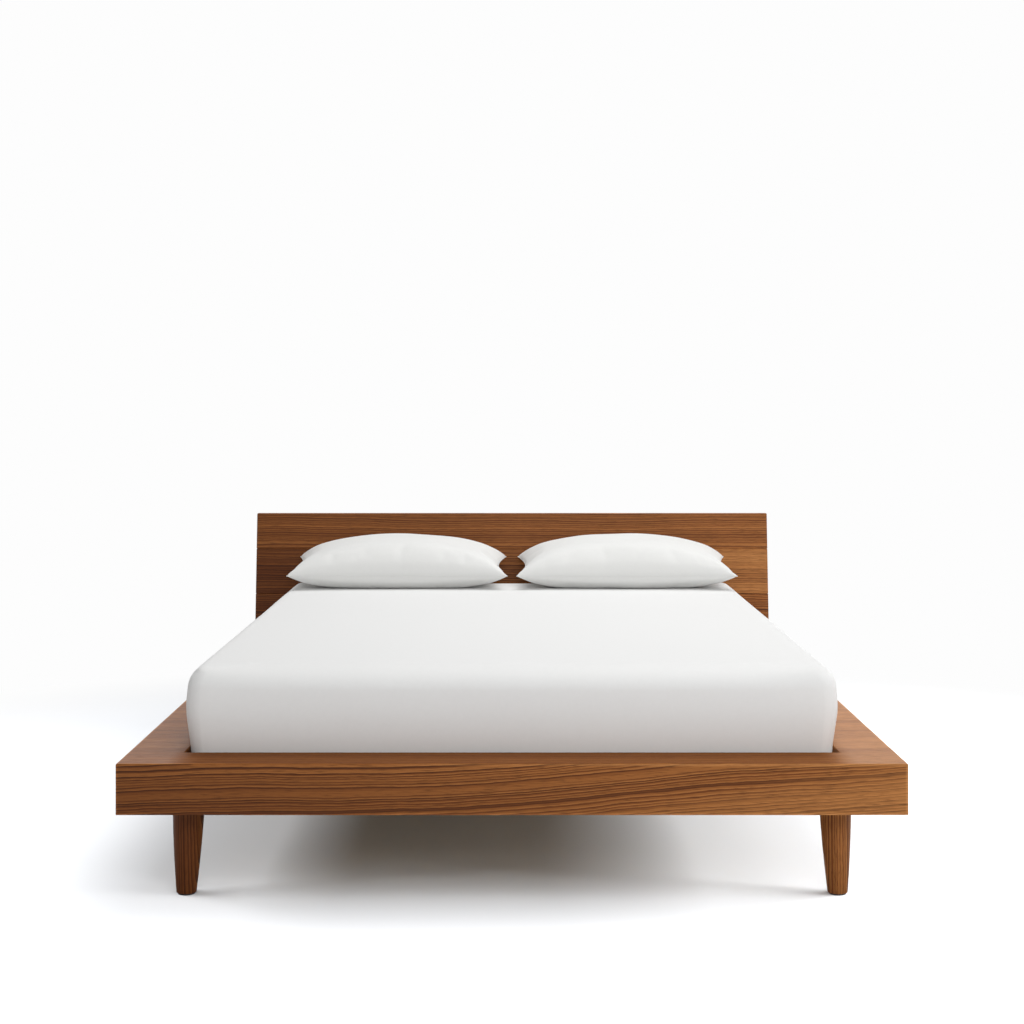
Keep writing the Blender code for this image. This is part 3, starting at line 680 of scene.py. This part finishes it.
def boxGrid(xs, ys, zs):
    # the six faces of a block as one closed mesh of quads
    bm = bmesh.new()
    made = {}

    def corner(*place):
        if place not in made:
            made[place] = bm.verts.new((xs[place[0]], ys[place[1]], zs[place[2]]))
        return made[place]

    last = (len(xs) - 1, len(ys) - 1, len(zs) - 1)
    for fixed in range(3):
        first, second = [axis for axis in range(3) if axis != fixed]
        for end in (0, last[fixed]):
            for i in range(last[first]):
                for j in range(last[second]):
                    ring = []
                    for a, b in ((i, j), (i + 1, j), (i + 1, j + 1), (i, j + 1)):
                        place = [0, 0, 0]
                        place[fixed], place[first], place[second] = end, a, b
                        ring.append(corner(*place))
                    bm.faces.new(ring)
    bm.normal_update()
    bmesh.ops.recalc_face_normals(bm, faces=bm.faces)
    return bm


def mattressMesh(name):
    shape = mattressShape
    centre = (mattressLow + mattressHigh) / 2
    half = (mattressHigh - mattressLow) / 2
    reaches, drops, radius = shape["rollReach"], shape["rollDrop"], shape["cornerRadius"]
    xs = edgedSteps(-half.x, half.x, reaches[0], reaches[0], shape["cell"], shape["edgeCells"])
    ys = edgedSteps(-half.y, half.y, reaches[1], reaches[1], shape["cell"], shape["edgeCells"])
    zs = edgedSteps(-half.z, half.z, shape["footDrop"], drops[0], shape["cell"] * 0.7, shape["edgeCells"])
    footLevel, rollLevel = shape["footDrop"] - half.z, half.z - drops[0]
    bm = boxGrid(xs, ys, zs)
    for vert in bm.verts:
        p = vert.co.copy()
        isTop = p.z > 0
        shells = [(abs(p[axis]) - half[axis]) / reaches[axis] + 1 for axis in (0, 1)]
        shell = max(0, *shells)
        endward = smoothStep((shells[1] - shells[0]) * 0.5 + 0.5)
        towardsCorner = (abs(p.x) / half.x) ** 6
        rollDrop = drops[0] + (drops[1] - drops[0]) * endward * (1 - towardsCorner)
        drop = rollDrop if isTop else shape["footDrop"]
        depth = (half.z - abs(p.z)) / (drops[0] if isTop else drop)
        turn = math.pi / 2 - math.pi / 4 * shell if depth <= 1e-6 else math.pi / 4 * max(0, 1 - depth)
        # each ring of the block becomes a rounded outline, drawn in along the rolled edge
        flat = Vector((p.x, p.y))
        sizes = []
        for axis in (0, 1):
            reach = reaches[axis]
            ringHalf = half[axis] - reach + reach * shell
            out = shape["footReach"]
            if isTop:
                out = reach * (1 - shape["cornerTightening"] * towardsCorner * axis)
            inset = out * (1 - math.cos(turn))
            if depth <= 1e-6 and not isTop:
                rolled = out * (1 - math.cos(math.pi / 4))
                inset = rolled + (reach - rolled) * (1 - shell)
            sizes.append(half[axis] - inset)
            flat[axis] *= (half[axis] - inset) / ringHalf
        if shell > 0:
            corner = max(0.0005, radius * shell)
            core = Vector([max(corner - sizes[axis], min(sizes[axis] - corner, flat[axis])) for axis in (0, 1)])
            offset = flat - core
            if offset.x and offset.y:
                flat = core + offset.normalized() * corner
        if depth < 1:
            z = math.copysign(half.z - drop * (1 - math.sin(turn)), p.z)
        else:
            climbed = (p.z - footLevel) / (rollLevel - footLevel)
            z = footLevel + (half.z - rollDrop - footLevel) * climbed
        rise = (z + half.z) / (2 * half.z)
        swell, draw = [math.exp(-((rise - level) / spread) ** 2)
                       for level, spread in (shape["bulgeBand"], shape["waistBand"])]
        edge = Vector((flat.x / half.x, flat.y / half.y))
        scaleX, scaleY, scaleZ = shape["softScale"]
        soft = noise.noise(Vector((flat.x * scaleX, flat.y * scaleY, z * scaleZ + shape["softSeed"])))
        soft *= shape["softness"]
        for axis in (0, 1):
            proud = shape["bulge"][axis] * swell - shape["waist"][axis] * draw + soft * 1.5
            flat[axis] += math.copysign(abs(edge[axis]) ** 10, edge[axis]) * proud
        if z > 0:
            z -= shape["crown"] * max(abs(edge.x), abs(edge.y)) ** 4
            z += soft * (1 - abs(edge.x) ** 6) * (1 - abs(edge.y) ** 6)
        vert.co = Vector((flat.x, flat.y, z)) + centre
    bmesh.ops.recalc_face_normals(bm, faces=bm.faces)
    mesh = meshFrom(bm, name)
    mesh.shade_smooth()
    return mesh


def roundedRing(half, z, corner, steps=10, run=40):
    # points round a rectangle with rounded corners, about evenly spaced along its sides
    ring = []
    turns = ((1, 1, 0, (-1, 0, 0)), (-1, 1, 90, (0, -1, 0)), (-1, -1, 180, (1, 0, 0)), (1, -1, 270, (0, 1, 0)))
    for sideX, sideY, start, ahead in turns:
        centre = Vector((sideX * (half[0] - corner), sideY * (half[1] - corner), z))
        for step in range(steps + 1):
            turn = math.radians(start + 90 * step / steps)
            ring.append(centre + Vector((math.cos(turn), math.sin(turn), 0)) * corner)
        far = Vector(ahead)
        length = 2 * ((half[0] if far.x else half[1]) - corner)
        last = ring[-1]
        ring += [last + far * length * i / run for i in range(1, run)]
    return ring


def weltTube(bm, ring, radius, sides=6):
    # a fine cord sewn into a seam, as a closed tube along a ring of points
    count = len(ring)
    rows = []
    for i, place in enumerate(ring):
        ahead = (ring[(i + 1) % count] - ring[i - 1]).normalized()
        out = ahead.cross(Vector((0, 0, 1))).normalized()
        up = out.cross(ahead)
        rows.append([bm.verts.new(place + (out * math.cos(turn) + up * math.sin(turn)) * radius)
                     for turn in (math.tau * k / sides for k in range(sides))])
    faces = []
    for i in range(count):
        for k in range(sides):
            a, b = rows[i], rows[(i + 1) % count]
            faces.append(bm.faces.new((a[k], a[(k + 1) % sides], b[(k + 1) % sides], b[k])))
    bmesh.ops.recalc_face_normals(bm, faces=faces)


def stitchTree():
    # short threads at an even pitch along a ring of edges
    group, given = startTree("hemStitches", {
        "Stitch Pitch": 0.008, "Stitch Length": 0.005, "Thread Width": 0.0009})
    line = addNode(group, "GeometryNodeMeshToCurve", inputs={"Mesh": given["Geometry"]})
    even = addNode(group, "GeometryNodeResampleCurve", {"mode": "LENGTH"}, {
        "Curve": line, "Length": given["Stitch Pitch"]})
    bead = addNode(group, "GeometryNodeMeshUVSphere", inputs={"Segments": 6, "Rings": 4, "Radius": 0.5})
    size = addNode(group, "ShaderNodeCombineXYZ", inputs={
        "X": given["Stitch Length"], "Y": given["Thread Width"], "Z": given["Thread Width"]})
    thread = addNode(group, "GeometryNodeTransform", inputs={"Geometry": bead, "Scale": size})
    tangent = addNode(group, "GeometryNodeInputTangent")
    turned = addNode(group, "FunctionNodeAlignRotationToVector", {"axis": "X"}, {"Vector": tangent})
    laid = addNode(group, "GeometryNodeInstanceOnPoints", inputs={
        "Points": even, "Instance": thread, "Rotation": turned})
    return endTree(group, given, laid)


mattress = addPiece("coveredMattress", mattressMesh("coveredMattress"), sheetCotton, "mattress")
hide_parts("mattress")

hem = {
    "rise": 0.027,
    "inset": 0.0012,
    "piping": 0.0022,
    "pipingSides": 8,
    "stitchRise": 0.034,
    "stitchInsets": (0.0036, 0.0016),    # at the sides and at the ends
    "stitch": {"Stitch Pitch": 0.0085, "Stitch Length": 0.0055, "Thread Width": 0.0010},
}


def hemRing(insets, rise):
    # a line round the mattress, a little above its foot
    half = (mattressHigh - mattressLow) / 2
    centre = (mattressLow + mattressHigh) / 2
    outline = (half.x - insets[0], half.y - insets[1])
    ring = roundedRing(outline, mattressLow.z + rise, mattressShape["cornerRadius"])
    return [place + Vector((centre.x, centre.y, 0)) for place in ring]


pipingBm = bmesh.new()
pipingInset = hem["inset"] + hem["piping"]
weltTube(pipingBm, hemRing((pipingInset, pipingInset), hem["rise"]), hem["piping"], hem["pipingSides"])
pipingMesh = meshFrom(pipingBm, "mattressPiping")
pipingMesh.shade_smooth()
addPiece("mattressPiping", pipingMesh, sheetCotton, "mattress")

stitchRing = hemRing(hem["stitchInsets"], hem["stitchRise"])
stitchLine = bpy.data.meshes.new("hemLine")
stitchLine.from_pydata(stitchRing, [(i, (i + 1) % len(stitchRing)) for i in range(len(stitchRing))], [])
stitches = grownMesh("hemStitches", stitchLine, stitchTree(), dict(hem["stitch"], Finish=sheetCotton))
stitches.shade_smooth()
addPiece("hemStitches", stitches, sheetCotton, "mattress")
print("mattress covered,", len(stitches.polygons), "stitch faces")

pillowShape = {
    "halfFront": 0.3665,     # centre to a front tip
    "halfRear": 0.3610,
    "halfDepth": 0.1760,
    "sidePull": 0.080,       # how far the edges draw in between the corners
    "frontPull": 0.055,
    "crown": 0.097,          # above the seam
    "sink": 0.070,           # below it
    "frontSeam": 0.045,      # height of the seam above the mattress
    "rearSeam": 0.080,
    "columns": 84,
    "rows": 44,
    "edgeCrowding": (1.3, 1.2),  # cells get closer together towards the seam
    "filled": 0.97,              # before the cloth swells
    "lumps": 0.05,
    "squareness": (3.1, 2.5),    # of the cross-section above the seam and below it
    "flatHalf": (0.40, 0.21),    # of the cut panel, for the weave
    "frames": 20,
    "mostSwell": 0.0065,
    "smoothing": 2,
    "press": 0.004,              # flattened this far up where it lies on the mattress
    "welt": 0.0014,
}
pillowCloth = {
    "quality": 6,
    "mass": 0.2,
    "tension_stiffness": 15,
    "compression_stiffness": 15,
    "shear_stiffness": 5,
    "bending_stiffness": 0.4,
    "shrink_min": -0.012,        # the case is cut a little larger than its filling
    "use_pressure": True,
    "uniform_pressure_force": 4.0,
    "vertex_group_mass": "seam",
    "pin_stiffness": 5,
}
# soft folds in the upper panel, each from one place to another, with its width and depth
pillowFolds = {
    "leftPillow": ((0.014, -0.176, 0.006, -0.140, 0.009, 0.0045), (0.352, -0.158, 0.270, -0.095, 0.011, 0.0070),
                   (0.330, -0.120, 0.300, -0.085, 0.009, 0.0040), (-0.340, -0.155, -0.255, -0.125, 0.012, 0.0040)),
    "rightPillow": ((-0.069, -0.176, -0.076, -0.135, 0.010, 0.0035), (0.350, -0.160, 0.240, -0.105, 0.012, 0.0060),
                    (-0.345, -0.155, -0.275, -0.110, 0.010, 0.0045)),
}


def foldDepth(name, x, y):
    total = 0
    for startX, startY, endX, endY, width, depth in pillowFolds[name]:
        along = Vector((endX - startX, endY - startY))
        offset = Vector((x - startX, y - startY))
        t = max(0, min(1, offset.dot(along) / along.length_squared))
        away = (offset - along * t).length
        total += depth * math.exp(-(away / width) ** 2) * (0.35 + 0.65 * math.sin(math.pi * min(1, t + 0.25)))
    return total


def sewnCase(name, seed):
    # two panels that share one seam, already filled to nearly their full height
    shape = pillowShape
    columns, rows = shape["columns"], shape["rows"]
    crowdX, crowdY = shape["edgeCrowding"]
    flatX, flatY = shape["flatHalf"]
    squareTop, squareFoot = shape["squareness"]
    bm = bmesh.new()
    flat = bm.verts.layers.float_vector.new("flatPlace")
    made, seam = {}, []
    for i in range(columns + 1):
        for j in range(rows + 1):
            u = math.sin((i / columns - 0.5) * 2 * crowdX) / math.sin(crowdX)
            v = math.sin((j / rows - 0.5) * 2 * crowdY) / math.sin(crowdY)
            half = shape["halfFront"] + (shape["halfRear"] - shape["halfFront"]) * (v + 1) / 2
            x = half * u * (1 - shape["sidePull"] * (1 - v * v))
            y = shape["halfDepth"] * v * (1 - shape["frontPull"] * (1 - u * u))
            level = shape["frontSeam"] + (shape["rearSeam"] - shape["frontSeam"]) * (v + 1) / 2
            edge = i in (0, columns) or j in (0, rows)
            lengthwise = max(0, 1 - u * u) ** 0.5
            wobble = 1 + shape["lumps"] * noise.noise(Vector((u * 2.2 + seed, v * 2.2, seed)))
            for side, height, square in ((1, shape["crown"], squareTop), (-1, shape["sink"], squareFoot)):
                full = lengthwise * max(0, 1 - abs(v) ** square) ** (1 / square)
                if edge and side < 0:
                    made[i, j, side] = made[i, j, 1]
                    continue
                fold = foldDepth(name, x, y) if side > 0 and not edge else 0
                vert = bm.verts.new((x, y, level + side * height * shape["filled"] * full * wobble - fold))
                vert[flat] = (u * flatX, v * flatY, 0)
                made[i, j, side] = vert
                if edge:
                    seam.append(vert)
    for i in range(columns):
        for j in range(rows):
            for side in (1, -1):
                ring = [made[i, j, side], made[i + 1, j, side], made[i + 1, j + 1, side], made[i, j + 1, side]]
                bm.faces.new(ring if side > 0 else list(reversed(ring)))
    uv = bm.loops.layers.uv.new("flatPattern")
    for face in bm.faces:
        for loop in face.loops:
            loop[uv].uv = (loop.vert[flat].x, loop.vert[flat].y)
    bm.verts.index_update()
    sewn = [vert.index for vert in seam]
    return meshFrom(bm, name), sewn


def stuffedCase(name, seed):
    # cloth pressure fills the panels out against the seam, which stays where it is
    mesh, sewn = sewnCase(name, seed)
    before = np.array([v.co for v in mesh.vertices], float)
    case = bpy.data.objects.new(name + "Cloth", mesh)
    scene.collection.objects.link(case)
    held = case.vertex_groups.new(name="seam")
    held.add(sewn, 1.0, "REPLACE")
    cloth = case.modifiers.new("cloth", "CLOTH")
    for key, value in pillowCloth.items():
        setattr(cloth.settings, key, value)
    cloth.settings.effector_weights.gravity = 0
    cloth.collision_settings.use_collision = False
    cloth.point_cache.frame_start = 1
    cloth.point_cache.frame_end = pillowShape["frames"]
    for step in range(1, pillowShape["frames"] + 1):
        scene.frame_set(step)
    depsgraph = bpy.context.evaluated_depsgraph_get()
    result = bpy.data.meshes.new_from_object(case.evaluated_get(depsgraph))
    bpy.data.objects.remove(case)
    scene.frame_set(1)
    after = np.array([v.co for v in result.vertices], float)
    moved = after - before
    length = np.linalg.norm(moved, axis=1, keepdims=True)
    print(name, "moved by the cloth, most and mean:", *(round(float(m), 4) for m in (length.max(), length.mean())))
    moved *= np.minimum(1, pillowShape["mostSwell"] / np.maximum(length, 1e-9))
    ends = np.array([edge.vertices[:] for edge in result.edges])
    loose = np.ones(len(before), bool)
    loose[sewn] = False
    for smoothing in range(pillowShape["smoothing"]):
        total, count = np.zeros_like(moved), np.zeros(len(moved))
        for near, far in ((0, 1), (1, 0)):
            np.add.at(total, ends[:, near], moved[ends[:, far]])
            np.add.at(count, ends[:, near], 1)
        moved[loose] = (0.5 * moved + 0.5 * total / count[:, None])[loose]
    result.vertices.foreach_set("co", (before + moved).astype(np.float32).ravel())
    result.name = name
    return result, sewn


def pillowPiece(name, body, seed):
    # the body and its only CAD node share a name
    low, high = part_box(body)
    mesh, sewn = stuffedCase(name, seed)
    points = np.array([v.co for v in mesh.vertices], float)
    press, heights = pillowShape["press"], points[:, 2]
    pressed = press * np.exp((np.minimum(heights, press) - press) / press)
    points[:, 2] = np.where(heights < press, pressed, heights)
    print(name, "size", [round(float(s), 4) for s in points.max(0) - points.min(0)])
    points += np.array([(low.x + high.x) / 2, (low.y + high.y) / 2, low.z])
    mesh.vertices.foreach_set("co", points.astype(np.float32).ravel())
    mesh.update()
    bm = bmesh.new()
    bm.from_mesh(mesh)
    bm.verts.ensure_lookup_table()
    middle = Vector(points.mean(0))
    seam = [bm.verts[i].co.copy() for i in sewn]
    seam.sort(key=lambda place: math.atan2(place.y - middle.y, place.x - middle.x))
    weltTube(bm, seam, pillowShape["welt"])
    bm.to_mesh(mesh)
    bm.free()
    mesh.shade_smooth()
    pillow = addPiece(name, mesh, pillowCotton, body)
    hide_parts(body)
    finer = pillow.modifiers.new("finer", "SUBSURF")
    finer.levels = 1
    finer.render_levels = 1


pillowPiece("leftPillow", "left_pillow", 3.0)
pillowPiece("rightPillow", "right_pillow", 8.0)
print("pillows stuffed")

studio = {
    "lens": 62.5,
    "shift": -0.106,
    "distance": 4.036,       # from the front rail
    "eyeHeight": 1.1495,
    "ambient": 0.24,
    "backdrop": "#fdfdfd",
    "floor": "#d8dadd",
    "floorRadius": 14.0,
    "fadeFrom": 1.6,         # the floor melts into the backdrop
    "fadeTo": 2.8,
}
lamps = {
    "overheadSoftbox": {"place": (0.8, 0.8, 4.2), "aim": (0, 0.1, 0.3), "size": (4.0, 4.0), "power": 147},
    "rightSoftbox": {"place": (4.2, -2.6, 2.4), "aim": (0, -0.3, 0.4), "size": (2.0, 2.0), "power": 50},
    "frontSoftbox": {"place": (0.9, -5.3, 2.6), "aim": (0, -1.0, 0.4), "size": (3.0, 1.6), "power": 86},
}
# these light the floor alone, and slip under the bed from its sides
floorLamps = {
    "rightFloorStrip": {"place": (3.4, -0.4, 1.15), "aim": (0.5, -0.4, 0), "size": (3.0, 0.55), "power": 225},
    "leftFloorStrip": {"place": (-3.4, -0.4, 1.65), "aim": (-0.5, -0.4, 0), "size": (3.0, 0.7), "power": 105},
    "frontFloorStrip": {"place": (0, -3.6, 3.3), "aim": (0, -1.0, 0), "size": (3.0, 2.2), "power": 62},
    "rightFloorLamp": {"place": (3.76, -1.95, 0.80), "aim": (0.6, -0.9, 0), "size": (0.3, 0.3), "power": 22},
    "leftFloorLamp": {"place": (-3.76, -2.05, 0.80), "aim": (-0.6, -0.9, 0), "size": (0.3, 0.3), "power": 12},
}

cameraData = bpy.data.cameras.new("camera")
cameraData.lens = studio["lens"]
cameraData.sensor_width = 36.0
cameraData.shift_y = studio["shift"]
camera = bpy.data.objects.new("camera", cameraData)
scene.collection.objects.link(camera)
camera.location = (0, frontY - studio["distance"], studio["eyeHeight"])
camera.rotation_euler = (math.pi / 2, 0, 0)
scene.camera = camera

world = bpy.data.worlds.new("studio")
scene.world = world
world.use_nodes = True
worldTree = world.node_tree
worldTree.nodes.clear()
rays = addNode(worldTree, "ShaderNodeLightPath")
seen = addNode(worldTree, "ShaderNodeBackground", inputs=(hexToLinear(studio["backdrop"]), 1.0))
ambient = addNode(worldTree, "ShaderNodeBackground", inputs=((1, 1, 1, 1), studio["ambient"]))
mirrored = addNode(worldTree, "ShaderNodeMath", "MAXIMUM", (
    rays.outputs["Is Camera Ray"], rays.outputs["Is Glossy Ray"]))
mixed = addNode(worldTree, "ShaderNodeMixShader", inputs=(mirrored, ambient, seen))
addNode(worldTree, "ShaderNodeOutputWorld", inputs=[mixed])

floorOnly = bpy.data.collections.new("floorOnly")
for name, lamp in {**lamps, **floorLamps}.items():
    light = bpy.data.lights.new(name, "AREA")
    light.shape = "RECTANGLE"
    light.size, light.size_y = lamp["size"]
    light.energy = lamp["power"]
    holder = bpy.data.objects.new(name, light)
    scene.collection.objects.link(holder)
    holder.location = lamp["place"]
    holder.rotation_euler = (Vector(lamp["aim"]) - Vector(lamp["place"])).to_track_quat("-Z", "Y").to_euler()
    if name in floorLamps:
        holder.light_linking.receiver_collection = floorOnly
        light.cycles.max_bounces = 0

floorPaint, floorTree = newMaterial("palePaintedFloor")
floorPlace = addNode(floorTree, "ShaderNodeTexCoord")
reach = addNode(floorTree, "ShaderNodeVectorMath", "LENGTH", {0: floorPlace.outputs["Object"]})
fade = addNode(floorTree, "ShaderNodeMapRange", {"interpolation_type": "SMOOTHSTEP"}, {
    "Value": reach.outputs["Value"], "From Min": studio["fadeFrom"], "From Max": studio["fadeTo"]})
paint = addNode(floorTree, "ShaderNodeBsdfDiffuse", inputs={"Color": hexToLinear(studio["floor"])})
haze = addNode(floorTree, "ShaderNodeEmission", inputs={"Color": hexToLinear(studio["backdrop"])})
blend = addNode(floorTree, "ShaderNodeMixShader", inputs=(fade, paint, haze))
addNode(floorTree, "ShaderNodeOutputMaterial", inputs=[blend])
floorBm = bmesh.new()
bmesh.ops.create_circle(floorBm, cap_ends=True, segments=96, radius=studio["floorRadius"])
floorMesh = meshFrom(floorBm, "floor")
floorMesh.materials.append(floorPaint)
floor = bpy.data.objects.new("floor", floorMesh)
scene.collection.objects.link(floor)
floorOnly.objects.link(floor)

scene.view_settings.view_transform = "Standard"
scene.view_settings.look = "None"
print("studio lit")
